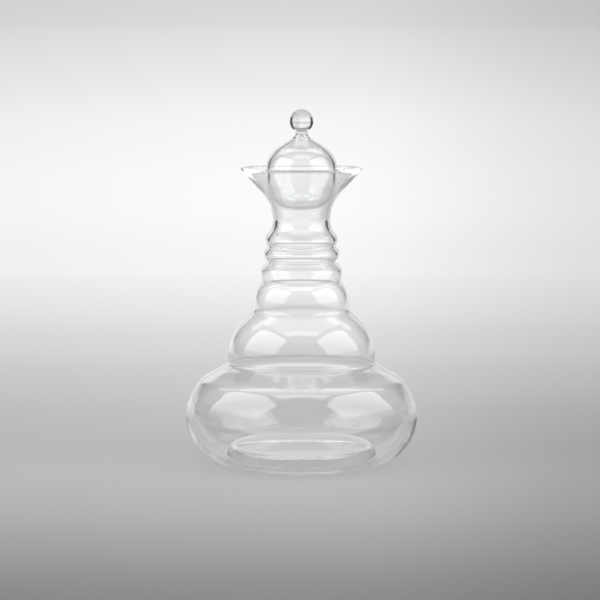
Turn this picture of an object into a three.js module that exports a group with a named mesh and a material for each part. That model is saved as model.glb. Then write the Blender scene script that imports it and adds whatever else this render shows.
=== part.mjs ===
// A lidded water carafe of clear blown glass: a squat round bowl, a neck stepped up in bells and
// beads, and a funnel mouth that a hollow glass ball with a knob drops into as the lid.
// Millimetres, +Z up. The origin is the centre of the foot, on the table.

import * as THREE from "three";

const { degToRad, lerp } = THREE.MathUtils;

// Foot and bowl, outside
const FOOT_RADIUS = 56.5; // middle of the flat ring that the carafe stands on
const FOOT_WIDTH = 4;
const PUNT_RADIUS = 50.5; // flat crown of the pushed-up bottom
const PUNT_HEIGHT = 8.5;
const BOWL_RADIUS = 85;
const ROUNDING_INSET = 9; // centre of the side's rounding, inside the foot's outer edge
const SHOULDER_ANGLE = degToRad(36); // above the widest ring, where the side's rounding ends
const SIDE_RUN = 8.4; // straight side from there to the shoulder's corner
const SHOULDER_TURN = 2.5; // how far the corner's turn runs along the side, and along the ledge
const LEDGE_SLOPE = degToRad(29.5);
const LEDGE_TURN = 4.2; // the hollow turn from the ledge into the bell

// Steps of the neck from the ledge up, outside
const BELL_RADIUS = 53.8;
const BELL_HEIGHT = 34.2;
const STEP_RADIUS = 34.4;
const STEP_HEIGHT = 21.4;
const COLLAR_FOOT_RADIUS = 28;
const COLLAR_RADIUS = 29.6;
const COLLAR_HEIGHT = 14.6;
const BEAD_GROOVE_RADIUS = 24.5;
const LOWER_BEAD_RADIUS = 27.6;
const LOWER_BEAD_HEIGHT = 11.4;
const UPPER_BEAD_RADIUS = 26.4;
const UPPER_BEAD_HEIGHT = 8.8;
const FULLNESS = 0.55; // share of a bell's or bead's height over which it stays full
const WAIST_RADIUS = 21;
const WAIST_RISE = 14.2; // from the fullest ring of the upper bead to the waist

// Funnel mouth, outside
const THROAT_ROUNDING = 31; // radius of the throat's flare, seen in section
const FUNNEL_ANGLE = degToRad(43); // off the axis
const MOUTH_RADIUS = 44;

// Glass
const BASE_WALL = 2.8;
const BOWL_WALL = 1.3;
const WAIST_WALL = 3.5;
const LIP_WALL = 2;
const LID_WALL = 2.4;

// Lid, outside
const LID_RADIUS = 26;
const LID_BOWL_DEPTH = 29.4; // from the lid's widest ring down to its bottom
const LID_BOWL_SQUARENESS = 2.85; // exponent of the superellipse of the lid's lower half
const DOME_ROUNDING = 19.8; // radius of the dome's side, seen in section
const DOME_ANGLE = degToRad(60); // above the widest ring, where the dome's side runs straight
const LID_NECK_RADIUS = 6.2;
const BLOW_HOLE_RADIUS = 4.4; // where the glass ball was blown, closed by the knob
const KNOB_RADIUS = 8.8;
const KNOB_STEM_RADIUS = 4.2;
const KNOB_STEM_HEIGHT = 4.2;
const PLUG_DEPTH = 2.4;

// Fits
const SEAT_CLEARANCE = 0.3; // lid in the funnel
const PLUG_CLEARANCE = 0.3; // knob on the lid's neck and in its blow hole

// Facets
const ROUND_SIDES = 36;
const MAX_TURN = degToRad(15); // the most that an outline turns from one facet to the next
const LIP_FACETS = 6;
const LID_BOWL_FACETS = 12;

// An outline is the section of one half of a round piece: x is the radius, y the height.

// The angle that a curve turns through, with bends to either side added together.
function turning(curve) {
  const probes = 24;
  let total = 0;
  let last = curve.getTangent(0);
  for (let i = 1; i <= probes; i += 1) {
    const next = curve.getTangent(i / probes);
    total += Math.abs(Math.atan2(last.cross(next), last.dot(next)));
    last = next;
  }
  return total;
}

// The corners of an outline, as many on each curve as its bend needs.
function cornersOf(path) {
  const corners = [path.curves[0].getPoint(0)];
  for (const curve of path.curves) {
    const facets = Math.max(1, Math.ceil(turning(curve) / MAX_TURN));
    corners.push(...curve.getPoints(facets).slice(1));
  }
  return corners;
}

function distanceToOutline(point, outline) {
  const nearest = new THREE.Vector3();
  const here = new THREE.Vector3(point.x, point.y, 0);
  const line = new THREE.Line3();
  let distance = Infinity;
  for (let i = 1; i < outline.length; i += 1) {
    line.start.set(outline[i - 1].x, outline[i - 1].y, 0);
    line.end.set(outline[i].x, outline[i].y, 0);
    line.closestPointToPoint(here, true, nearest);
    distance = Math.min(distance, nearest.distanceTo(here));
  }
  return distance;
}

// The left-hand side of the way between two corners, which is the glass side of an outer outline.
function leftOf(from, to) {
  return new THREE.Vector2(from.y - to.y, to.x - from.x).normalize();
}

// The inner face of a wall: each corner moved in by the wall's thickness there, without the corners
// that a tight bend folds over.
function innerOutline(outer, wallAt) {
  const kept = 0.97; // a corner that comes closer than this share of the wall is folded over
  const inner = [];
  outer.forEach((corner, i) => {
    const inward = new THREE.Vector2();
    if (i > 0) inward.add(leftOf(outer[i - 1], corner));
    if (i < outer.length - 1) inward.add(leftOf(corner, outer[i + 1]));
    if (corner.x === 0) inward.x = 0; // on the axis the wall is measured straight up
    const wall = wallAt(corner.y);
    const moved = corner.clone().addScaledVector(inward.normalize(), wall);
    if (distanceToOutline(moved, outer) > kept * wall) inner.push(moved);
  });
  return inner;
}

// The value at a height, from a list of [height, value] stations that goes upwards.
function valueAt(stations, height) {
  const above = stations.findIndex(([station]) => station > height);
  if (above === 0) return stations[0][1];
  if (above < 0) return stations.at(-1)[1];
  const [low, lowValue] = stations[above - 1];
  const [high, highValue] = stations[above];
  return lerp(lowValue, highValue, (height - low) / (high - low));
}

// A bell: upright at its foot and drawn in towards its top, or the upper half of a bead.
function drawIn(path, topRadius, height) {
  const { x, y } = path.currentPoint;
  path.quadraticCurveTo(x, y + FULLNESS * height, topRadius, y + height);
}

// The lower half of a bead: from a groove out to its fullest ring.
function swellOut(path, fullRadius, height) {
  const { y } = path.currentPoint;
  path.quadraticCurveTo(fullRadius, y + (1 - FULLNESS) * height, fullRadius, y + height);
}

// The carafe's outer face, from the middle of its bottom to the lip, with the heights that its wall
// is measured at.
function bodyOutline() {
  const footOuter = FOOT_RADIUS + FOOT_WIDTH / 2;
  const footInner = FOOT_RADIUS - FOOT_WIDTH / 2;
  const flankMiddle = (PUNT_RADIUS + footInner) / 2;
  const path = new THREE.Path();
  path.moveTo(0, PUNT_HEIGHT);
  path.lineTo(PUNT_RADIUS, PUNT_HEIGHT);
  path.bezierCurveTo(flankMiddle, PUNT_HEIGHT, flankMiddle, 0, footInner, 0);
  path.lineTo(footOuter, 0);

  const centreRadius = footOuter - ROUNDING_INSET;
  const rounding = BOWL_RADIUS - centreRadius;
  const bowlMiddle = Math.sqrt(rounding ** 2 - ROUNDING_INSET ** 2);
  const footAngle = -Math.acos(ROUNDING_INSET / rounding);
  path.absarc(centreRadius, bowlMiddle, rounding, footAngle, 0, false);
  path.absarc(centreRadius, bowlMiddle, rounding, 0, SHOULDER_ANGLE, false);

  const side = new THREE.Vector2(-Math.sin(SHOULDER_ANGLE), Math.cos(SHOULDER_ANGLE));
  const shoulder = path.currentPoint.clone().addScaledVector(side, SIDE_RUN);
  const sideEnd = shoulder.clone().addScaledVector(side, -Math.min(SHOULDER_TURN, SIDE_RUN));
  const ledge = new THREE.Vector2(-Math.cos(LEDGE_SLOPE), Math.sin(LEDGE_SLOPE));
  const ledgeLength = (shoulder.x - BELL_RADIUS) / Math.cos(LEDGE_SLOPE);
  const bellCorner = shoulder.clone().addScaledVector(ledge, ledgeLength);
  const ledgeStart = shoulder.clone().addScaledVector(ledge, Math.min(SHOULDER_TURN, ledgeLength / 2));
  const ledgeEnd = bellCorner.clone().addScaledVector(ledge, -Math.min(LEDGE_TURN, ledgeLength / 2));
  path.lineTo(sideEnd.x, sideEnd.y);
  path.quadraticCurveTo(shoulder.x, shoulder.y, ledgeStart.x, ledgeStart.y);
  path.lineTo(ledgeEnd.x, ledgeEnd.y);
  path.quadraticCurveTo(bellCorner.x, bellCorner.y, BELL_RADIUS, bellCorner.y + LEDGE_TURN);

  drawIn(path, STEP_RADIUS, BELL_HEIGHT);
  drawIn(path, COLLAR_FOOT_RADIUS, STEP_HEIGHT);
  const collarFoot = path.currentPoint.y;
  swellOut(path, COLLAR_RADIUS, COLLAR_HEIGHT / 2);
  drawIn(path, BEAD_GROOVE_RADIUS, COLLAR_HEIGHT / 2);
  swellOut(path, LOWER_BEAD_RADIUS, LOWER_BEAD_HEIGHT / 2);
  drawIn(path, BEAD_GROOVE_RADIUS, LOWER_BEAD_HEIGHT / 2);
  swellOut(path, UPPER_BEAD_RADIUS, UPPER_BEAD_HEIGHT / 2);
  const fullest = path.currentPoint.y;
  const waist = fullest + WAIST_RISE;
  const sweep = fullest + 0.42 * WAIST_RISE; // where the bead's flank is steepest
  path.bezierCurveTo(UPPER_BEAD_RADIUS, sweep, WAIST_RADIUS, sweep, WAIST_RADIUS, waist);

  const throatCentre = WAIST_RADIUS + THROAT_ROUNDING;
  path.absarc(throatCentre, waist, THROAT_ROUNDING, Math.PI, Math.PI - FUNNEL_ANGLE, true);
  const throat = path.currentPoint;
  const rim = throat.y + (MOUTH_RADIUS - throat.x) / Math.tan(FUNNEL_ANGLE);
  path.lineTo(MOUTH_RADIUS, rim);

  const wallStations = [
    [0, BASE_WALL],
    [bowlMiddle, BOWL_WALL],
    [collarFoot, BOWL_WALL],
    [waist, WAIST_WALL],
    [rim, LIP_WALL],
  ];
  return { outer: cornersOf(path), wallStations, waist };
}

// The round lip that joins the outer face to the inner one.
function lipCorners(outerEnd, innerEnd) {
  const middle = outerEnd.clone().add(innerEnd).multiplyScalar(0.5);
  const start = outerEnd.clone().sub(middle).angle();
  const lip = new THREE.EllipseCurve(
    middle.x,
    middle.y,
    outerEnd.distanceTo(middle),
    outerEnd.distanceTo(middle),
    start,
    start + Math.PI,
  );
  return lip.getPoints(LIP_FACETS).slice(1, -1);
}

// The lid is drawn about its own widest ring, which is at height 0 there.

// The outer face of the lid's glass ball, from the middle of its bottom to its neck.
function lidOutline() {
  const corners = [];
  const power = 2 / LID_BOWL_SQUARENESS;
  for (let i = 0; i < LID_BOWL_FACETS; i += 1) {
    const angle = (i / LID_BOWL_FACETS) * (Math.PI / 2);
    const radius = LID_RADIUS * Math.sin(angle) ** power;
    corners.push(new THREE.Vector2(radius, -LID_BOWL_DEPTH * Math.cos(angle) ** power));
  }
  const dome = new THREE.Path();
  dome.moveTo(LID_RADIUS, 0);
  dome.absarc(LID_RADIUS - DOME_ROUNDING, 0, DOME_ROUNDING, 0, DOME_ANGLE, false);
  const roof = dome.currentPoint;
  const neck = roof.y + (roof.x - LID_NECK_RADIUS) / Math.tan(DOME_ANGLE);
  dome.lineTo(LID_NECK_RADIUS, neck);
  corners.push(...cornersOf(dome));
  return { outer: corners, neck };
}

// The ball with its wall: open at the neck, where the blow hole runs down to the inner face.
function lidBulbCorners(lid) {
  const inner = innerOutline(lid.outer, () => LID_WALL);
  const roof = inner.at(-2);
  const roofEnd = inner.at(-1);
  const share = (roof.x - BLOW_HOLE_RADIUS) / (roof.x - roofEnd.x);
  inner[inner.length - 1] = roof.clone().lerp(roofEnd, share);
  const hole = new THREE.Vector2(BLOW_HOLE_RADIUS, lid.neck);
  return [...lid.outer, hole, ...inner.reverse()];
}

function knobCorners(lid) {
  const seat = lid.neck + PLUG_CLEARANCE;
  const plugRadius = BLOW_HOLE_RADIUS - PLUG_CLEARANCE;
  const stemTop = seat + KNOB_STEM_HEIGHT;
  const stemAngle = Math.acos(KNOB_STEM_RADIUS / KNOB_RADIUS);
  const ballMiddle = stemTop + KNOB_RADIUS * Math.sin(stemAngle);
  const path = new THREE.Path();
  path.moveTo(0, lid.neck - PLUG_DEPTH);
  path.lineTo(plugRadius, lid.neck - PLUG_DEPTH);
  path.lineTo(plugRadius, seat);
  path.lineTo(LID_NECK_RADIUS, seat);
  path.quadraticCurveTo(KNOB_STEM_RADIUS, (seat + stemTop) / 2, KNOB_STEM_RADIUS, stemTop);
  path.absarc(0, ballMiddle, KNOB_RADIUS, -stemAngle, Math.PI / 2, false);
  const corners = cornersOf(path);
  corners.at(-1).x = 0;
  return corners;
}

// The height at which the lid, let down into the funnel, comes to rest one clearance from it.
function seatHeight(lidOuter, funnel, waist) {
  const radii = funnel.map((corner) => [corner.y, corner.x]);
  const clearAt = (height) => {
    const lid = lidOuter.map((corner) => new THREE.Vector2(corner.x, corner.y + height));
    const inside = lid.every((corner) => corner.x < valueAt(radii, corner.y));
    const lidClear = lid.every((corner) => distanceToOutline(corner, funnel) >= SEAT_CLEARANCE);
    return inside && lidClear && funnel.every((corner) => distanceToOutline(corner, lid) >= SEAT_CLEARANCE);
  };
  let low = waist;
  let high = funnel.at(-1).y + LID_BOWL_DEPTH + LID_RADIUS;
  for (let halving = 0; halving < 40; halving += 1) {
    const middle = (low + high) / 2;
    if (clearAt(middle)) high = middle;
    else low = middle;
  }
  return high;
}

// Each outline turned about the upright axis.
function turned(name, corners, material) {
  const geometry = new THREE.LatheGeometry(corners, ROUND_SIDES);
  geometry.rotateX(Math.PI / 2);
  const mesh = new THREE.Mesh(geometry, material);
  mesh.name = name;
  return mesh;
}

function clearGlass(color) {
  return new THREE.MeshStandardMaterial({
    color,
    roughness: 0.03,
    metalness: 0,
    transparent: true,
    opacity: 0.35,
  });
}

const body = bodyOutline();
const bodyInner = innerOutline(body.outer, (height) => valueAt(body.wallStations, height));
const lip = lipCorners(body.outer.at(-1), bodyInner.at(-1));
const lid = lidOutline();
const funnel = bodyInner.filter((corner) => corner.y >= body.waist);

const lidGroup = new THREE.Group();
lidGroup.position.z = seatHeight(lid.outer, funnel, body.waist);
lidGroup.add(turned("lid_bulb", lidBulbCorners(lid), clearGlass(0xf1f5f5)));
lidGroup.add(turned("lid_knob", knobCorners(lid), clearGlass(0xf4f7f7)));

const carafe = new THREE.Group();
carafe.add(turned("carafe_body", [...body.outer, ...lip, ...bodyInner.reverse()], clearGlass(0xeff4f4)));
carafe.add(lidGroup);

export default carafe;
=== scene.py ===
import math

import bpy
import numpy as np
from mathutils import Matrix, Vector


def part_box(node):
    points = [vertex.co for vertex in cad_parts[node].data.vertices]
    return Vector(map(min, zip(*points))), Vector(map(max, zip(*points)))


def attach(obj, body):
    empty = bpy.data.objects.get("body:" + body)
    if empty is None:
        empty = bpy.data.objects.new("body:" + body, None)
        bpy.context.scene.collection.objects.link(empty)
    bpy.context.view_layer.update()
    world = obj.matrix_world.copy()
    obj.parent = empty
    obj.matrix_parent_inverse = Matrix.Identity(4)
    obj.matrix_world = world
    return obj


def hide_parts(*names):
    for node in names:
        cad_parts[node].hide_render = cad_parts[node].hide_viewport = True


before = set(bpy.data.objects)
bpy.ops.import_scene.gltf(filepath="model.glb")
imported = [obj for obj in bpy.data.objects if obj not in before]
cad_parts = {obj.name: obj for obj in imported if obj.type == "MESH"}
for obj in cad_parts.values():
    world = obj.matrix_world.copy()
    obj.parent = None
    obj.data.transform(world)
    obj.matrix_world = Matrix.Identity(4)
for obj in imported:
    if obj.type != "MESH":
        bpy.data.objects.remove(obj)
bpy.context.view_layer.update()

bl_info = {
    "name": "Lidded glass carafe",
    "version": (1, 0, 0),
    "blender": (4, 5, 0),
    "location": "3D View > Sidebar > Carafe",
    "description": "A stepped carafe of clear blown glass with its ball lid, on a studio sweep",
    "category": "Add Mesh",
}

# The CAD model's box, and the height in it of the lid's bottom
LID_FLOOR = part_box("lid_bulb")[0].z

# Outlines are drawn in steps this long before they are thinned to what their bends need.
DRAWN_STEP = 0.00015
# A point of a wall's inner face that is nearer to the outer face than this share is in a fold.
FOLD_SHARE = 0.985
# Sides of the round pieces
BODY_SIDES = 104
LID_SIDES = 128

# Where the neck's long S is steepest, as a share of the way from the upper bead to the waist
STEEPEST_SHARE = 0.42
# How far from the step's foot, up or down, the heat has softened its corner
STEP_EASING_REACH = 0.006

# The painted light on the paper, as stops of place and grey: over its depth, up its bend and across
# the view
PAINTED_LIGHT_DEPTH = (
    (0.05, 0.16), (0.1, 0.24), (0.15, 0.33), (0.22, 0.415), (0.3, 0.425),
    (0.4, 0.51), (0.52, 0.645), (0.67, 0.8), (0.89, 0.957), (1.0, 1.0),
)
PAINTED_LIGHT_RISE = (
    (0.0, 0.95), (0.0423, 1.0), (0.0923, 0.985), (0.1615, 0.91), (0.246, 0.76), (0.285, 0.69),
    (0.32, 0.72), (0.4, 0.92), (0.5, 1.0), (0.75, 1.0), (1.0, 0.8),
)
PAINTED_LIGHT_FAN = ((0.0, 0.88), (0.31, 0.935), (0.5, 1.0), (0.58, 0.93), (0.69, 0.78), (1.0, 0.8))
# How far in front of the carafe the fan of that last ramp begins, which is near the camera
FAN_POINT = 1.91

# The floor lies this far below the foot and the sweep above it, so no two faces share a plane.
PAPER_GAP = 0.0002
FLOOR_RADIUS = 9
SWEEP_WIDTH = 4.8
SWEEP_LAP = 0.2
SWEEP_RISE = 0.4

# The black flags behind the carafe's sides: size, place of the right one, and turn in degrees
FLAG_SIZE = (0.17, 0.46)
FLAG_PLACE = (0.288, 0.278, 0.33)
FLAG_TURN = -46

# Lamps: how far round the side softboxes stand, in degrees, and the middle of their height
SIDE_TURN = 64
SIDE_HEIGHT = 0.425
# Those that hang overhead, nearly level
CEILING = 1.3
CEILING_TILT = 89
REAR_TURN = 130
REAR_PLACE = (1.11, 0.93)
REAR_SIZE = (1.0, 0.9)
TOP_SIZE = (2.0, 1.36)
TOP_MIDDLE = -0.08
TOP_FRONT = TOP_MIDDLE - TOP_SIZE[1] / 2

CAMERA_SHIFT = (-0.0025, 0.0008)
# Enough for light that goes through every wall of the lid, the funnel and the body
BOUNCES = 96


def length(name, description, default):
    """A size in metres."""
    return bpy.props.FloatProperty(
        name=name, description=description, default=default, min=0, unit="LENGTH", precision=5
    )


def angle(name, description, degrees):
    """An angle, written in degrees."""
    return bpy.props.FloatProperty(
        name=name, description=description, default=math.radians(degrees), subtype="ANGLE"
    )


def share(name, description, default):
    """A plain number."""
    return bpy.props.FloatProperty(name=name, description=description, default=default, precision=4)


def colour(name, description, default):
    """A colour, as the light that it gives back."""
    return bpy.props.FloatVectorProperty(
        name=name, description=description, default=default, min=0, max=1, size=3, subtype="COLOR"
    )


class CarafeBodySizes(bpy.types.PropertyGroup):
    """The outside of the carafe from the foot up, and its wall"""

    foot_radius: length("Foot radius", "Middle of the ring that the carafe stands on", 0.0565)
    foot_width: length("Foot width", "Width of that ring", 0.004)
    punt_radius: length("Punt radius", "Flat crown of the pushed-up bottom", 0.0505)
    punt_height: length("Punt height", "Height of the pushed-up bottom", 0.0085)
    bowl_radius: length("Bowl radius", "Widest ring of the bowl", 0.085)
    rounding_inset: length(
        "Rounding inset", "Centre of the side's rounding, inside the foot's outer edge", 0.009
    )
    shoulder_angle: angle(
        "Shoulder angle", "Where the side's rounding ends, above the widest ring", 33.5
    )
    side_run: length(
        "Side run", "Nearly straight side from the rounding to the shoulder's corner", 0.00995
    )
    side_bend: angle("Side bend", "How much that side draws in on its way", 5)
    shoulder_turn: length("Shoulder turn", "Length of the turn on each side of that corner", 0.0036)
    ledge_slope: angle("Ledge slope", "Slope of the ledge under the bell", 29.5)
    ledge_bend: angle("Ledge bend", "How much the ledge steepens from the corner to the bell", 3)
    ledge_turn: length("Ledge turn", "Hollow turn from the ledge into the bell", 0.0016)
    bell_foot: length("Bell foot", "Upright foot of the bell, from the ledge's end", 0.0045)
    bell_radius: length("Bell radius", "Foot of the bell", 0.0538)
    bell_height: length("Bell height", "From the bell's foot to the step", 0.0342)
    step_radius: length("Step radius", "Foot of the step above the bell", 0.0352)
    step_height: length("Step height", "From the step's foot to the collar", 0.0214)
    collar_foot_radius: length("Collar foot radius", "Where the step ends under the collar", 0.0283)
    collar_radius: length("Collar radius", "Fullest ring of the collar", 0.0296)
    collar_height: length("Collar height", "Height of the collar", 0.0146)
    groove_radius: length("Groove radius", "Grooves above and below the lower bead", 0.0245)
    lower_bead_radius: length("Lower bead radius", "Fullest ring of the lower bead", 0.0276)
    lower_bead_height: length("Lower bead height", "Height of the lower bead", 0.0114)
    upper_bead_radius: length("Upper bead radius", "Fullest ring of the upper bead", 0.0264)
    upper_bead_height: length("Upper bead height", "Twice the height of its lower half", 0.0088)
    fullness: share("Fullness", "Share of its height over which a bell or bead stays full", 0.55)
    step_fullness: share("Step fullness", "The same for the step, which is blown fuller", 0.72)
    waist_radius: length("Waist radius", "Narrowest ring of the neck", 0.021)
    waist_rise: length("Waist rise", "From the upper bead's fullest ring to the waist", 0.0142)
    throat_rounding: length("Throat rounding", "Radius of the throat's flare in section", 0.031)
    funnel_angle: angle("Funnel angle", "Flare of the mouth, off the axis", 43)
    mouth_radius: length("Mouth radius", "Outer edge of the lip", 0.044)
    base_wall: length("Base wall", "Glass at the foot", 0.0028)
    bowl_wall: length("Bowl wall", "Glass at the bell's foot and under the collar", 0.00134)
    belly_wall: length("Belly wall", "Glass at the widest ring", 0.0012)
    side_wall: length("Side wall", "Glass of the side below the shoulder's corner", 0.00155)
    corner_wall: length("Corner wall", "Glass in that corner", 0.00127)
    ledge_wall: length("Ledge wall", "Glass of the ledge above the corner", 0.00145)
    bell_wall: length("Bell wall", "Glass in the bell, where it was blown thinnest", 0.00116)
    waist_wall: length("Waist wall", "Glass at the waist", 0.0035)
    lip_wall: length("Lip wall", "Glass at the lip", 0.002)
    easing: length("Easing", "How far the heat has softened the corners between the steps", 0.0004)
    step_easing: length("Step easing", "The same for the hollow corner at the step's foot", 0.0018)
    inner_easing: length("Inner easing", "How much rounder the glass has settled inside", 0.0005)


class CarafeLidSizes(bpy.types.PropertyGroup):
    """The outside of the hollow ball and its knob, and the ball's wall"""

    lid_radius: length("Lid radius", "Widest ring of the ball", 0.026)
    bowl_depth: length("Bowl depth", "From the widest ring down to the bottom", 0.0294)
    squareness: share("Squareness", "Power of the curve of the lower half", 2.85)
    dome_rounding: length("Dome rounding", "Radius of the dome's side in section", 0.0198)
    dome_angle: angle("Dome angle", "Where the dome's side runs straight to the neck", 60)
    neck_radius: length("Neck radius", "Where the knob was fused on", 0.0062)
    knob_radius: length("Knob radius", "The solid ball on top", 0.0088)
    stem_radius: length("Stem radius", "Narrowest ring under the knob", 0.0042)
    stem_height: length("Stem height", "From the neck to the ball", 0.0042)
    seat_gap: length("Seat gap", "Bead of glass between the neck and the stem", 0.0003)
    plug_radius: length("Plug radius", "The knob's flat underside in the ball", 0.0041)
    plug_depth: length("Plug depth", "How far that underside lies below the neck", 0.0024)
    wall: length("Wall", "Glass of the ball", 0.0024)
    easing: length("Easing", "How far the heat has softened the corners", 0.0005)


class CarafeGlassLook(bpy.types.PropertyGroup):
    """The finish of the blown glass"""

    body_tint: colour("Carafe tint", "Light that the carafe lets through", (0.985, 0.99, 0.988))
    lid_tint: colour("Lid tint", "Light that the lid lets through", (0.98, 0.987, 0.985))
    bending: share("Bending", "Index of refraction", 1.47)
    ripple: length("Ripple", "Depth of the slow waves left by blowing", 0.00005)
    turning_marks: length("Turning marks", "Depth of the fine rings left by turning", 0.000004)
    polish: share("Polish", "Roughness of the fire-polished skin", 0.0)
    film: share("Film", "Roughness that faint smears add", 0.015)
    scuffing: share("Scuffing", "Roughness of the ring that rubs on the table", 0.3)


class CarafeStageLook(bpy.types.PropertyGroup):
    """Paper, lamps and camera"""

    paper: colour("Paper", "Sweep under and behind the carafe", (0.8, 0.8, 0.8))
    # Strength of the painted pool of light that the paper glows with
    pool: share("Pool", "Brightest spot of the sweep behind the lid", 1.06)
    sweep_start: length("Sweep start", "From the carafe back to where the paper bends up", 1.75)
    sweep_bend: length("Sweep bend", "Radius of that bend", 0.9)
    softbox_distance: length("Softbox distance", "From the carafe to the side softboxes", 0.5)
    softbox_width: length("Softbox width", "Width of a side softbox", 0.78)
    softbox_height: length("Softbox height", "Height of a side softbox", 0.65)
    softbox_glow: share("Softbox glow", "Brightness of the side ones, 1 being white paper", 2.9)
    top_glow: share("Top glow", "Brightness of the softbox overhead", 2.5)
    rear_glow: share("Rear glow", "Brightness of the softboxes behind the carafe's sides", 1.1)
    far_floor: share("Far floor", "Brightness of the room's floor beyond the camera", 0.75)
    zenith: share("Zenith", "Brightness of the room overhead", 0.45)
    horizon: share("Horizon", "Brightness of the room round about", 0.2)
    lens: bpy.props.FloatProperty(
        name="Lens", description="Focal length of the camera", default=157.44, unit="CAMERA"
    )
    camera_back: length("Camera distance", "From the axis back to the camera", 1.9097)
    camera_height: length("Camera height", "From the table up to the camera", 0.3076)
    camera_tilt: angle("Camera tilt", "How far the camera looks down", 5.64)


# Outlines: half the section of a round piece, as rows of radius and height

class Outline:
    """An outline that is drawn upwards from the axis, curve by curve."""

    def __init__(self, radius, height):
        self.points = [np.array((radius, height))]

    @property
    def end(self):
        return self.points[-1]

    def draw(self, curve):
        """Follows curve(t) from t 0 to 1 in even steps."""
        rough = np.array([curve(t) for t in np.linspace(0, 1, 33)])
        reach = np.linalg.norm(np.diff(rough, axis=0), axis=1).sum()
        steps = max(2, math.ceil(reach / DRAWN_STEP))
        self.points += [np.array(curve(t)) for t in np.linspace(0, 1, steps + 1)[1:]]

    def line(self, radius, height):
        start, stop = self.end, np.array((radius, height))
        self.draw(lambda t: start + (stop - start) * t)

    def bend(self, corner, stop):
        """A curve that leaves towards corner and arrives from it."""
        start, corner, stop = self.end, np.array(corner), np.array(stop)
        self.draw(lambda t: start * (1 - t) ** 2 + corner * 2 * t * (1 - t) + stop * t**2)

    def sweep(self, first, second, stop):
        """A curve with two corners, such as a long S."""
        start, first, second, stop = self.end, np.array(first), np.array(second), np.array(stop)
        self.draw(
            lambda t: start * (1 - t) ** 3
            + first * 3 * t * (1 - t) ** 2
            + second * 3 * t**2 * (1 - t)
            + stop * t**3
        )

    def arc(self, centre, rounding, start, stop):
        """Part of a circle, from one angle to another."""
        centre = np.array(centre)

        def point(t):
            turned = start + (stop - start) * t
            return centre + rounding * np.array((math.cos(turned), math.sin(turned)))

        self.draw(point)

    def draw_in(self, radius, height, fullness):
        """A bell or the upper half of a bead: upright at its foot and drawn in at its top."""
        r, z = self.end
        self.bend((r, z + fullness * height), (radius, z + height))

    def swell_out(self, radius, height, fullness):
        """The lower half of a bead: from a groove out to its fullest ring."""
        z = self.end[1]
        self.bend((radius, z + (1 - fullness) * height), (radius, z + height))


def evened(points):
    """The same outline with points one drawn step apart."""
    points = np.asarray(points)
    way = np.r_[0, np.cumsum(np.linalg.norm(np.diff(points, axis=0), axis=1))]
    at = np.linspace(0, way[-1], math.ceil(way[-1] / DRAWN_STEP) + 1)
    return np.c_[np.interp(at, way, points[:, 0]), np.interp(at, way, points[:, 1])]


def eased(points, reach):
    """The outline with its corners softened over about reach, and its ends kept."""
    points = evened(points)
    count = math.ceil(3 * reach / DRAWN_STEP)
    weights = np.exp(-0.5 * (np.arange(-count, count + 1) * DRAWN_STEP / reach) ** 2)
    weights /= weights.sum()
    before = 2 * points[0] - points[count:0:-1]
    after = 2 * points[-1] - points[-2 : -count - 2 : -1]
    padded = np.r_[before, points, after]
    return np.c_[[np.convolve(padded[:, k], weights, "valid") for k in (0, 1)]].T


def inward(points, wall_at):
    """The inner face of a wall with the outer face points, without what a tight bend folds over."""
    ways = np.gradient(points, axis=0)
    ways /= np.linalg.norm(ways, axis=1)[:, None]
    walls = wall_at(points[:, 1])
    moved = points + np.c_[-ways[:, 1], ways[:, 0]] * walls[:, None]
    gaps = np.array([np.linalg.norm(points - p, axis=1).min() for p in moved])
    return moved[gaps > FOLD_SHARE * walls]


def thinned(points, turn=math.radians(3), stride=0.003, growth=0.4):
    """The outline with fewer points, which lie close together in its bends.

    Each step turns by at most turn and is at most stride long. Between bends the steps grow by
    growth of the way gone."""
    steps = np.diff(points, axis=0)
    reach = np.linalg.norm(steps, axis=1)
    headings = np.unwrap(np.arctan2(steps[:, 1], steps[:, 0]))
    bends = np.abs(np.diff(headings, prepend=headings[0]))
    room = np.minimum(stride, turn * reach / np.maximum(bends, 1e-9))
    for i in range(1, len(room)):
        room[i] = min(room[i], room[i - 1] + growth * reach[i])
    for i in range(len(room) - 2, -1, -1):
        room[i] = min(room[i], room[i + 1] + growth * reach[i])
    count = np.r_[0, np.cumsum(reach / room)]
    way = np.r_[0, np.cumsum(reach)]
    at = np.interp(np.linspace(0, count[-1], math.ceil(count[-1]) + 1), count, way)
    return np.c_[np.interp(at, way, points[:, 0]), np.interp(at, way, points[:, 1])]


def heading(turned):
    """One step along a line that leans in from upright by turned."""
    return np.array((-math.sin(turned), math.cos(turned)))


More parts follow.
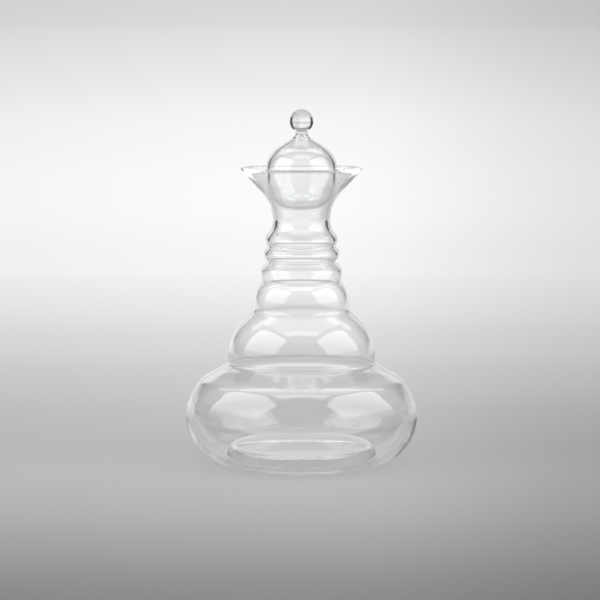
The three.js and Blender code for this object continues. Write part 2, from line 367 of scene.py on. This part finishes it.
def body_outline(b):
    """The carafe's section, from the middle of its bottom over the lip to its floor's middle."""
    foot_outer = b.foot_radius + b.foot_width / 2
    foot_inner = b.foot_radius - b.foot_width / 2
    flank = (b.punt_radius + foot_inner) / 2
    o = Outline(0, b.punt_height)
    o.line(b.punt_radius, b.punt_height)
    o.sweep((flank, b.punt_height), (flank, 0), (foot_inner, 0))
    o.line(foot_outer, 0)

    centre = foot_outer - b.rounding_inset
    rounding = b.bowl_radius - centre
    belly = math.sqrt(rounding**2 - b.rounding_inset**2)
    o.arc((centre, belly), rounding, -math.acos(b.rounding_inset / rounding), b.shoulder_angle)

    side, drawn_in = heading(b.shoulder_angle), heading(b.shoulder_angle + b.side_bend)
    side_middle = o.end + b.side_run / 2 * side
    shoulder = side_middle + b.side_run / 2 * drawn_in
    upright = math.pi / 2 - b.ledge_slope
    ledge, steep = heading(upright + b.ledge_bend / 2), heading(upright - b.ledge_bend / 2)
    half_ledge = (shoulder[0] - b.bell_radius) / -(ledge + steep)[0]
    ledge_middle = shoulder + half_ledge * ledge
    bell_corner = ledge_middle + half_ledge * steep
    o.bend(side_middle, shoulder - b.shoulder_turn * drawn_in)
    o.bend(shoulder, shoulder + b.shoulder_turn * ledge)
    o.bend(ledge_middle, bell_corner - b.ledge_turn * steep)
    o.bend(bell_corner, bell_corner + np.array((0, b.ledge_turn)))
    o.line(b.bell_radius, bell_corner[1] + b.bell_foot)

    o.draw_in(b.step_radius, b.bell_height, b.fullness)
    step_foot = o.end[1]
    o.draw_in(b.collar_foot_radius, b.step_height, b.step_fullness)
    collar_foot = o.end[1]
    o.swell_out(b.collar_radius, b.collar_height / 2, b.fullness)
    o.draw_in(b.groove_radius, b.collar_height / 2, b.fullness)
    o.swell_out(b.lower_bead_radius, b.lower_bead_height / 2, b.fullness)
    o.draw_in(b.groove_radius, b.lower_bead_height / 2, b.fullness)
    o.swell_out(b.upper_bead_radius, b.upper_bead_height / 2, b.fullness)
    fullest = o.end[1]
    waist = fullest + b.waist_rise
    steepest = fullest + STEEPEST_SHARE * b.waist_rise
    o.sweep((b.upper_bead_radius, steepest), (b.waist_radius, steepest), (b.waist_radius, waist))
    o.arc(
        (b.waist_radius + b.throat_rounding, waist),
        b.throat_rounding,
        math.pi,
        math.pi - b.funnel_angle,
    )
    rim = o.end[1] + (b.mouth_radius - o.end[0]) / math.tan(b.funnel_angle)
    o.line(b.mouth_radius, rim)

    # Heights and the wall there. Round the shoulder they are counted from its corner.
    corner = shoulder[1]
    stations = (
        (0, b.base_wall),
        (belly, b.belly_wall),
        (corner - 0.016, b.side_wall),
        (corner - 0.001, b.corner_wall),
        (corner + 0.004, b.ledge_wall),
        (corner + 0.008, b.bowl_wall),
        (corner + 0.012, b.bowl_wall),
        (corner + 0.020, b.bell_wall),
        (collar_foot, b.bowl_wall),
        (waist, b.waist_wall),
        (rim, b.lip_wall),
    )
    heights, walls = zip(*stations)
    outer = eased(o.points, b.easing)
    near_step = np.exp(-(((outer[:, 1:] - step_foot) / STEP_EASING_REACH) ** 2))
    outer += (eased(o.points, b.step_easing) - outer) * near_step
    inner = eased(inward(outer, lambda z: np.interp(z, heights, walls)), b.inner_easing)
    inner[0, 0] = 0

    lip = Outline(*outer[-1])
    lip_middle = (outer[-1] + inner[-1]) / 2
    spoke = outer[-1] - lip_middle
    start = math.atan2(spoke[1], spoke[0])
    lip.arc(lip_middle, np.linalg.norm(spoke), start, start + math.pi)
    lip_points = thinned(np.array(lip.points), turn=math.radians(15))
    return np.r_[thinned(outer), lip_points[1:-1], thinned(inner)[::-1]]


def lid_outlines(s):
    """The outside of the ball with its knob, and the hollow in the ball, from the bottom up."""
    level = LID_FLOOR + s.bowl_depth
    power = 2 / s.squareness
    o = Outline(0, LID_FLOOR)
    for turned in np.linspace(0, math.pi / 2, 400)[1:]:
        out, down = math.sin(turned), max(0, math.cos(turned))
        o.points.append(np.array((s.lid_radius * out**power, level - s.bowl_depth * down**power)))
    o.arc((s.lid_radius - s.dome_rounding, level), s.dome_rounding, 0, s.dome_angle)
    neck = o.end[1] + (o.end[0] - s.neck_radius) / math.tan(s.dome_angle)
    o.line(s.neck_radius, neck)
    ball = eased(o.points, s.easing)

    hollow = inward(ball, lambda z: np.full(len(z), s.wall))
    hollow = hollow[hollow[:, 0] >= s.plug_radius * (hollow[:, 1] > level)]
    hollow[0, 0] = 0
    plug = neck - s.plug_depth
    hollow = np.r_[hollow, [(s.plug_radius, plug), (0, plug)]]
    hollow = eased(hollow, s.easing)
    hollow[[0, -1], 0] = 0

    seat = neck + s.seat_gap
    o.line(s.neck_radius, seat)
    stem_top = seat + s.stem_height
    o.bend((s.stem_radius, (seat + stem_top) / 2), (s.stem_radius, stem_top))
    tilt = math.acos(s.stem_radius / s.knob_radius)
    ball_middle = stem_top + s.knob_radius * math.sin(tilt)
    o.arc((0, ball_middle), s.knob_radius, -tilt, math.pi / 2)
    outer = eased(o.points, s.easing)
    outer[[0, -1], 0] = 0
    return thinned(outer), thinned(hollow)


def spin_outline(name, outline, sides):
    """A round piece: an outline of extruded points, spun about the upright axis and closed."""
    bpy.ops.object.select_all(action="DESELECT")
    bpy.ops.mesh.primitive_plane_add(size=0.001, location=(0, 0, 0))
    piece = bpy.context.object
    piece.name = piece.data.name = name
    bpy.ops.object.mode_set(mode="EDIT")
    bpy.ops.mesh.select_all(action="SELECT")
    bpy.ops.mesh.merge(type="CENTER")
    bpy.ops.transform.translate(value=(outline[0][0], 0, outline[0][1]))
    for (r0, z0), (r1, z1) in zip(outline, outline[1:]):
        bpy.ops.mesh.extrude_vertices_move(TRANSFORM_OT_translate={"value": (r1 - r0, 0, z1 - z0)})
    bpy.ops.mesh.select_all(action="SELECT")
    bpy.ops.mesh.spin(steps=sides, angle=2 * math.pi, center=(0, 0, 0), axis=(0, 0, 1))
    bpy.ops.mesh.select_all(action="SELECT")
    bpy.ops.mesh.remove_doubles(threshold=1e-6)
    bpy.ops.mesh.normals_make_consistent(inside=False)
    bpy.ops.mesh.select_all(action="DESELECT")
    bpy.ops.mesh.select_non_manifold()
    bpy.ops.object.mode_set(mode="OBJECT")
    gaps = sum(v.select for v in piece.data.vertices)
    if gaps:
        raise RuntimeError(f"{name} is not closed: {gaps} points lie on an open edge")
    bpy.ops.object.shade_smooth()
    return piece


# Nodes

def wire(tree, links):
    """Joins sockets, given as pairs of (node, socket name)."""
    for (a, out), (b, into) in links:
        tree.links.new(a.outputs[out], b.inputs[into])


def maths(tree, operation, *values):
    """A Math node with plain numbers set and sockets linked."""
    node = tree.nodes.new("ShaderNodeMath")
    node.operation = operation
    for i, value in enumerate(values):
        if isinstance(value, bpy.types.NodeSocket):
            tree.links.new(value, node.inputs[i])
        else:
            node.inputs[i].default_value = value
    return node.outputs[0]


def times(tree, product, *factors):
    """The product of sockets and plain numbers."""
    for factor in factors:
        product = maths(tree, "MULTIPLY", product, factor)
    return product


def spread(tree, value, low, high, between="LINEAR"):
    """0 at low and 1 at high, and level beyond them."""
    node = tree.nodes.new("ShaderNodeMapRange")
    node.interpolation_type = between
    node.inputs["From Min"].default_value = low
    node.inputs["From Max"].default_value = high
    tree.links.new(value, node.inputs["Value"])
    return node.outputs[0]


def faded(tree, value, dark, full):
    """0 at dark and 1 at full, eased between them."""
    return spread(tree, value, dark, full, "SMOOTHSTEP")


def ramp(tree, value, stops):
    """A Color Ramp over stops of (place, grey)."""
    node = tree.nodes.new("ShaderNodeValToRGB")
    node.color_ramp.interpolation = "CARDINAL"
    steps = node.color_ramp.elements
    while len(steps) < len(stops):
        steps.new(1)
    for step, (place, grey) in zip(steps, stops):
        step.position = place
        step.color = (grey, grey, grey, 1)
    tree.links.new(value, node.inputs["Fac"])
    return node.outputs["Color"]


def noise(tree, scale, detail, distortion=0):
    """A Noise Texture node."""
    node = tree.nodes.new("ShaderNodeTexNoise")
    for name, value in (("Scale", scale), ("Detail", detail), ("Distortion", distortion)):
        node.inputs[name].default_value = value
    return node


def xyz(tree, coordinates="Object"):
    """The three sockets that say where the shaded point lies."""
    source = tree.nodes.new("ShaderNodeTexCoord")
    place = tree.nodes.new("ShaderNodeSeparateXYZ")
    tree.links.new(source.outputs[coordinates], place.inputs["Vector"])
    return [place.outputs[way] for way in "XYZ"]


# Finishes

def new_finish(name):
    """A material with its node tree and its first shader."""
    material = bpy.data.materials.new(name)
    material.use_nodes = True
    return material, material.node_tree, material.node_tree.nodes["Principled BSDF"]


def blown_surface_group():
    """What blowing and use leave on glass: slow waves, fine rings, smears and a scuffed foot."""
    if "blown_surface" in bpy.data.node_groups:
        return bpy.data.node_groups["blown_surface"]
    group = bpy.data.node_groups.new("blown_surface", "ShaderNodeTree")
    sockets = group.interface
    sockets.new_socket("Vector", in_out="INPUT", socket_type="NodeSocketVector")
    for name in ("Ripple", "Turning Marks", "Polish", "Film", "Scuffing"):
        sockets.new_socket(name, in_out="INPUT", socket_type="NodeSocketFloat")
    for name in ("Height", "Roughness"):
        sockets.new_socket(name, in_out="OUTPUT", socket_type="NodeSocketFloat")
    given, made = group.nodes.new("NodeGroupInput"), group.nodes.new("NodeGroupOutput")

    waves = noise(group, scale=28, detail=1)
    flattened = group.nodes.new("ShaderNodeMapping")
    flattened.inputs["Scale"].default_value = (6, 6, 420)
    rings = noise(group, scale=1, detail=2)
    smears = noise(group, scale=55, detail=5, distortion=0.6)
    place = group.nodes.new("ShaderNodeSeparateXYZ")
    wire(group, [
        ((given, "Vector"), (waves, "Vector")),
        ((given, "Vector"), (flattened, "Vector")),
        ((flattened, "Vector"), (rings, "Vector")),
        ((given, "Vector"), (smears, "Vector")),
        ((given, "Vector"), (place, "Vector")),
    ])
    wavy = times(group, waves.outputs["Fac"], given.outputs["Ripple"])
    ringed = times(group, rings.outputs["Fac"], given.outputs["Turning Marks"])
    smeared = faded(group, smears.outputs["Fac"], 0.52, 0.75)
    foot = spread(group, place.outputs["Z"], 0.0007, 0.0)
    filmed = times(group, smeared, given.outputs["Film"])
    scuffed = times(group, foot, given.outputs["Scuffing"])
    rough = maths(group, "ADD", given.outputs["Polish"], filmed)
    group.links.new(maths(group, "ADD", wavy, ringed), made.inputs["Height"])
    group.links.new(maths(group, "ADD", rough, scuffed), made.inputs["Roughness"])
    return group


def glass(name, tint, look):
    """Clear blown glass that lets the lamps' light through to the table."""
    material, tree, shader = new_finish(name)
    shader.inputs["Base Color"].default_value = (*tint, 1)
    shader.inputs["IOR"].default_value = look.bending
    shader.inputs["Metallic"].default_value = 0
    shader.inputs["Transmission Weight"].default_value = 1
    coordinates = tree.nodes.new("ShaderNodeTexCoord")
    surface = tree.nodes.new("ShaderNodeGroup")
    surface.node_tree = blown_surface_group()
    surface.inputs["Ripple"].default_value = look.ripple
    surface.inputs["Turning Marks"].default_value = look.turning_marks
    surface.inputs["Polish"].default_value = look.polish
    surface.inputs["Film"].default_value = look.film
    surface.inputs["Scuffing"].default_value = look.scuffing
    bump = tree.nodes.new("ShaderNodeBump")
    bump.inputs["Strength"].default_value = 1
    bump.inputs["Distance"].default_value = 1
    clear = tree.nodes.new("ShaderNodeBsdfTransparent")
    clear.inputs["Color"].default_value = (0.9, 0.9, 0.9, 1)
    path = tree.nodes.new("ShaderNodeLightPath")
    mixed = tree.nodes.new("ShaderNodeMixShader")
    wire(tree, [
        ((coordinates, "Object"), (surface, "Vector")),
        ((surface, "Height"), (bump, "Height")),
        ((surface, "Roughness"), (shader, "Roughness")),
        ((bump, "Normal"), (shader, "Normal")),
        ((path, "Is Shadow Ray"), (mixed, 0)),
        ((shader, "BSDF"), (mixed, 1)),
        ((clear, "BSDF"), (mixed, 2)),
        ((mixed, "Shader"), (tree.nodes["Material Output"], "Surface")),
    ])
    return material


def studio_paper(look):
    """Pale paper that glows with a painted pool of light behind the lid.

    The painted light falls off towards the camera and the sides, and far from the carafe the floor
    glows pale again."""
    material, tree, paper = new_finish("studio_paper")
    paper.inputs["Base Color"].default_value = (*look.paper, 1)
    paper.inputs["Roughness"].default_value = 0.8
    paper.inputs["Specular IOR Level"].default_value = 0.2
    x, y, z = xyz(tree)

    # Painted light and shade: a pool behind the lid, darker towards the camera and the sides
    depth = ramp(tree, spread(tree, y, -0.6, 1.75), PAINTED_LIGHT_DEPTH)
    front = times(tree, spread(tree, y, -0.42, -0.85), 0.7)
    depth = maths(tree, "MAXIMUM", depth, front)
    rise = ramp(tree, spread(tree, z, 0.0, 1.3), PAINTED_LIGHT_RISE)
    reach = maths(tree, "ADD", y, FAN_POINT)
    fan = maths(tree, "DIVIDE", x, maths(tree, "MAXIMUM", reach, 0.4))
    across = ramp(tree, spread(tree, fan, -0.3, 0.3), PAINTED_LIGHT_FAN)
    dim = times(tree, faded(tree, fan, 0.02, 0.14), faded(tree, y, 0.6, -0.1))
    across = times(tree, across, maths(tree, "MULTIPLY_ADD", dim, -0.25, 1.0))
    pool = times(tree, depth, rise, across, look.pool)
    away = maths(tree, "SQRT", maths(tree, "ADD", times(tree, x, x), times(tree, y, y)))
    far = times(tree, faded(tree, away, 0.7, 2.4), faded(tree, y, 1.6, 0.6), 0.78)

    # Painted light: where the camera or the glass sees the paper, it glows, and the lamps light
    # only a small share of it, which keeps the carafe's shadow
    glow = tree.nodes.new("ShaderNodeEmission")
    glow.inputs["Color"].default_value = (1, 1, 1, 1)
    tree.links.new(maths(tree, "MAXIMUM", pool, far), glow.inputs["Strength"])
    path = tree.nodes.new("ShaderNodeLightPath")
    seen = maths(tree, "MAXIMUM", path.outputs["Is Camera Ray"], path.outputs["Is Glossy Ray"])
    seen = maths(tree, "MAXIMUM", seen, path.outputs["Is Transmission Ray"])
    mixed = tree.nodes.new("ShaderNodeMixShader")
    tree.links.new(times(tree, seen, 0.85), mixed.inputs[0])
    wire(tree, [
        ((paper, "BSDF"), (mixed, 1)),
        ((glow, "Emission"), (mixed, 2)),
        ((mixed, "Shader"), (tree.nodes["Material Output"], "Surface")),
    ])
    return material


def flag_cloth():
    """Black net that thins out towards its foot."""
    material, tree, cloth = new_finish("flag_cloth")
    cloth.inputs["Base Color"].default_value = (0.02, 0.02, 0.02, 1)
    cloth.inputs["Roughness"].default_value = 0.9
    z = xyz(tree)[2]
    tree.links.new(faded(tree, z, 0.1, 0.15), cloth.inputs["Alpha"])
    return material


class CARAFE_OT_body(bpy.types.Operator):
    """Turn the carafe's bowl, stepped neck and funnel mouth as one wall of glass"""

    bl_idname = "carafe.body"
    bl_label = "Carafe body"

    def execute(self, context):
        scene, look = context.scene, context.scene.carafe_glass
        body = spin_outline("carafe", body_outline(scene.carafe_body), BODY_SIDES)
        body.data.materials.append(glass("carafe_glass", look.body_tint, look))
        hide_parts("carafe_body")
        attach(body, "carafe")
        return {"FINISHED"}


class CARAFE_OT_lid(bpy.types.Operator):
    """Turn the lid's hollow ball with the knob fused on its neck"""

    bl_idname = "carafe.lid"
    bl_label = "Lid"

    def execute(self, context):
        scene, look = context.scene, context.scene.carafe_glass
        outer, hollow = lid_outlines(scene.carafe_lid)
        inside = spin_outline("lid_hollow", hollow, LID_SIDES)
        bpy.ops.object.mode_set(mode="EDIT")
        bpy.ops.mesh.select_all(action="SELECT")
        bpy.ops.mesh.flip_normals()
        bpy.ops.object.mode_set(mode="OBJECT")
        lid = spin_outline("lid", outer, LID_SIDES)
        inside.select_set(True)
        bpy.ops.object.join()
        lid.data.materials.append(glass("lid_glass", look.lid_tint, look))
        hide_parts("lid_bulb", "lid_knob")
        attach(lid, "lid")
        return {"FINISHED"}


# The stage

def rounded(tree, across, up, full):
    """1 inside a rectangle with rounded corners, fading to 0 at its edge."""
    out = [
        maths(tree, "ABSOLUTE", maths(tree, "MULTIPLY_ADD", way, 2, -1)) for way in (across, up)
    ]
    rim = maths(tree, "ADD", *[maths(tree, "POWER", way, 5) for way in out])
    return faded(tree, rim, 1.0, full)


def right_cloth(tree, front, up):
    """Brightest at its top, leaning to the carafe's front, with a dim foot that is set back."""
    above_foot = faded(tree, up, 0.12, 0.2)
    lean = maths(tree, "MULTIPLY_ADD", up, 0.25, -0.45)
    lean = maths(tree, "MULTIPLY_ADD", above_foot, 0.2, lean)
    strength = rounded(tree, maths(tree, "ADD", front, lean), up, 0.6)
    strength = times(tree, strength, maths(tree, "MULTIPLY_ADD", up, 0.4, 0.6))
    return times(tree, strength, maths(tree, "MULTIPLY_ADD", above_foot, 0.7, 0.3))


def left_cloth(tree, across, up):
    """The right one's mirror image."""
    return right_cloth(tree, maths(tree, "SUBTRACT", 1, across), up)


def rear_cloth(tree, across, up):
    """Even, with a wide soft edge."""
    return rounded(tree, across, up, 0.2)


def top_cloth(tree, across, back):
    """Brightest at its front and back, with a gap behind, and cut off where the side ones begin."""
    width, depth = TOP_SIZE
    x = maths(tree, "ABSOLUTE", maths(tree, "MULTIPLY_ADD", across, width, -width / 2))
    y = maths(tree, "MULTIPLY_ADD", back, depth, TOP_FRONT)
    strength = maths(tree, "MULTIPLY_ADD", faded(tree, y, -0.4, -0.54), 0.6, 0.4)
    strength = maths(tree, "MULTIPLY_ADD", faded(tree, y, 0.1, 0.3), 0.5, strength)
    beside_gap = maths(tree, "MAXIMUM", faded(tree, x, 0.16, 0.23), faded(tree, y, 0.34, 0.24))
    outward = maths(tree, "SUBTRACT", times(tree, x, 0.891), times(tree, y, 0.454))
    strength = times(tree, strength, beside_gap, faded(tree, outward, 0.82, 0.66))
    edge = times(tree, faded(tree, y, TOP_FRONT, -0.68), faded(tree, y, 0.55, 0.49))
    return times(tree, strength, edge)


def facing(azimuth, tilt):
    """The way from the carafe to a lamp: degrees right of the camera's side, and degrees up."""
    a, e = math.radians(azimuth), math.radians(tilt)
    return Vector((math.sin(a) * math.cos(e), -math.cos(a) * math.cos(e), math.sin(e)))


def add_softbox(name, towards, place, size, glow, cloth):
    """A soft lamp at place, with its back turned towards the given way.

    cloth(tree, across, up) gives how its cloth glows, where both go from 0 to 1."""
    bpy.ops.object.select_all(action="DESELECT")
    bpy.ops.object.light_add(type="AREA", location=place)
    lamp = bpy.context.object
    lamp.name = lamp.data.name = name
    lamp.rotation_euler = towards.to_track_quat("Z", "Y").to_euler()
    lamp.data.shape = "RECTANGLE"
    lamp.data.size, lamp.data.size_y = size
    lamp.data.energy = glow * math.pi * size[0] * size[1]
    lamp.data.use_nodes = True
    tree = lamp.data.node_tree
    surface = tree.nodes.new("ShaderNodeNewGeometry")
    spot = tree.nodes.new("ShaderNodeSeparateXYZ")
    tree.links.new(surface.outputs["Parametric"], spot.inputs["Vector"])
    strength = cloth(tree, spot.outputs["X"], spot.outputs["Y"])
    tree.links.new(strength, tree.nodes["Emission"].inputs["Strength"])


def add_softboxes(look):
    """Two at the carafe's sides, two overhead behind it and one overhead."""
    side_size = (look.softbox_width, look.softbox_height)
    for name, side, cloth in (("softbox_left", -1, left_cloth), ("softbox_right", 1, right_cloth)):
        towards = facing(side * SIDE_TURN, 0)
        place = look.softbox_distance * towards + Vector((0, 0, SIDE_HEIGHT))
        add_softbox(name, towards, place, side_size, look.softbox_glow, cloth)
    for name, side in (("softbox_rear_left", -1), ("softbox_rear_right", 1)):
        towards = facing(side * REAR_TURN, CEILING_TILT)
        place = (side * REAR_PLACE[0], REAR_PLACE[1], CEILING)
        add_softbox(name, towards, place, REAR_SIZE, look.rear_glow, rear_cloth)
    towards, place = facing(0, CEILING_TILT), (0, TOP_MIDDLE, CEILING)
    add_softbox("softbox_top", towards, place, TOP_SIZE, look.top_glow, top_cloth)


def add_sheet(name, size):
    """A flat sheet on the axis, left in edit mode with all of it selected."""
    bpy.ops.object.select_all(action="DESELECT")
    bpy.ops.mesh.primitive_plane_add(size=1, location=(0, 0, 0))
    sheet = bpy.context.object
    sheet.name = name
    bpy.ops.object.mode_set(mode="EDIT")
    bpy.ops.mesh.select_all(action="SELECT")
    bpy.ops.transform.resize(value=(*size, 1))
    return sheet


def add_paper(look):
    """A wide floor, and a sweep that bends up from it behind the carafe."""
    paper = studio_paper(look)
    bpy.ops.object.select_all(action="DESELECT")
    bpy.ops.mesh.primitive_circle_add(
        vertices=96, radius=FLOOR_RADIUS, fill_type="NGON", location=(0, 0, -PAPER_GAP)
    )
    floor = bpy.context.object
    floor.name = "floor"
    floor.data.materials.append(paper)

    sweep = add_sheet("backdrop", (SWEEP_WIDTH, SWEEP_LAP))
    bpy.ops.transform.translate(value=(0, look.sweep_start - SWEEP_LAP / 2, PAPER_GAP))
    bpy.ops.mesh.select_mode(type="EDGE")
    bpy.ops.mesh.select_all(action="DESELECT")
    bpy.ops.object.mode_set(mode="OBJECT")
    points = sweep.data.vertices
    behind = look.sweep_start - SWEEP_LAP / 4
    for edge in sweep.data.edges:
        edge.select = all(points[i].co.y > behind for i in edge.vertices)
    bpy.ops.object.mode_set(mode="EDIT")
    bpy.ops.mesh.spin(
        steps=32,
        angle=-math.pi / 2,
        center=(0, look.sweep_start, look.sweep_bend + PAPER_GAP),
        axis=(1, 0, 0),
    )
    bpy.ops.mesh.extrude_region_move(TRANSFORM_OT_translate={"value": (0, 0, SWEEP_RISE)})
    bpy.ops.object.mode_set(mode="OBJECT")
    bpy.ops.object.shade_smooth()
    sweep.data.materials.append(paper)


def add_flags():
    """Two black flags, seen only in the glass, that draw the dark lines along its edges."""
    black = flag_cloth()
    for name, side in (("flag_left", -1), ("flag_right", 1)):
        flag = add_sheet(name, FLAG_SIZE)
        bpy.ops.object.mode_set(mode="OBJECT")
        flag.rotation_euler = (math.pi / 2, 0, side * math.radians(FLAG_TURN))
        flag.location = (side * FLAG_PLACE[0], *FLAG_PLACE[1:])
        bpy.ops.object.transform_apply(location=True, rotation=True, scale=True)
        flag.data.materials.append(black)
        flag.visible_camera = flag.visible_shadow = flag.visible_diffuse = False


def add_room(scene, look):
    """A dim room, brighter overhead, to the right and low down beyond the camera."""
    world = bpy.data.worlds.new("studio")
    scene.world = world
    world.use_nodes = True
    tree = world.node_tree
    x, y, z = xyz(tree, "Generated")
    horizon = maths(tree, "MULTIPLY_ADD", x, 0.95 * look.horizon, look.horizon)
    overhead = maths(tree, "SUBTRACT", look.zenith, horizon)
    room = maths(tree, "MULTIPLY_ADD", faded(tree, z, 0.0, 0.7), overhead, horizon)
    low = times(tree, faded(tree, z, 0.06, 0.0), faded(tree, y, -0.5, -0.85))
    room = maths(tree, "MULTIPLY_ADD", low, look.far_floor, room)
    background = tree.nodes["Background"]
    background.inputs["Color"].default_value = (1, 1, 1, 1)
    tree.links.new(room, background.inputs["Strength"])


def add_camera(scene, look):
    """The photo's long lens, and what clear glass needs of the renderer."""
    bpy.ops.object.camera_add(
        location=(0, -look.camera_back, look.camera_height),
        rotation=(math.pi / 2 - look.camera_tilt, 0, 0),
    )
    camera = bpy.context.object
    camera.data.lens = look.lens
    camera.data.shift_x, camera.data.shift_y = CAMERA_SHIFT
    scene.camera = camera
    scene.view_settings.view_transform = "Standard"
    scene.cycles.max_bounces = BOUNCES
    scene.cycles.transmission_bounces = BOUNCES
    scene.cycles.glossy_bounces = BOUNCES


class CARAFE_OT_stage(bpy.types.Operator):
    """Set the paper sweep, the flags, the softboxes, the room and the camera"""

    bl_idname = "carafe.stage"
    bl_label = "Stage"

    def execute(self, context):
        scene, look = context.scene, context.scene.carafe_stage
        add_paper(look)
        add_flags()
        add_softboxes(look)
        add_room(scene, look)
        add_camera(scene, look)
        return {"FINISHED"}


class CARAFE_PT_panel(bpy.types.Panel):
    """The carafe's sizes, finish and stage"""

    bl_idname = "CARAFE_PT_panel"
    bl_label = "Lidded glass carafe"
    bl_space_type = "VIEW_3D"
    bl_region_type = "UI"
    bl_category = "Carafe"

    def draw(self, context):
        layout = self.layout
        for operator in (CARAFE_OT_body, CARAFE_OT_lid, CARAFE_OT_stage):
            layout.operator(operator.bl_idname)
        for name in ("carafe_body", "carafe_lid", "carafe_glass", "carafe_stage"):
            group = getattr(context.scene, name)
            box = layout.box()
            # The first two keys are those that every group has.
            for key in group.bl_rna.properties.keys()[2:]:
                box.prop(group, key)


CLASSES = (
    CarafeBodySizes,
    CarafeLidSizes,
    CarafeGlassLook,
    CarafeStageLook,
    CARAFE_OT_body,
    CARAFE_OT_lid,
    CARAFE_OT_stage,
    CARAFE_PT_panel,
)


def register():
    for cls in CLASSES:
        bpy.utils.register_class(cls)
    scene = bpy.types.Scene
    scene.carafe_body = bpy.props.PointerProperty(type=CarafeBodySizes)
    scene.carafe_lid = bpy.props.PointerProperty(type=CarafeLidSizes)
    scene.carafe_glass = bpy.props.PointerProperty(type=CarafeGlassLook)
    scene.carafe_stage = bpy.props.PointerProperty(type=CarafeStageLook)


def unregister():
    scene = bpy.types.Scene
    del scene.carafe_body, scene.carafe_lid, scene.carafe_glass, scene.carafe_stage
    for cls in reversed(CLASSES):
        bpy.utils.unregister_class(cls)


def main():
    register()
    bpy.ops.carafe.body()
    bpy.ops.carafe.lid()
    bpy.ops.carafe.stage()


if __name__ == "__main__":
    main()
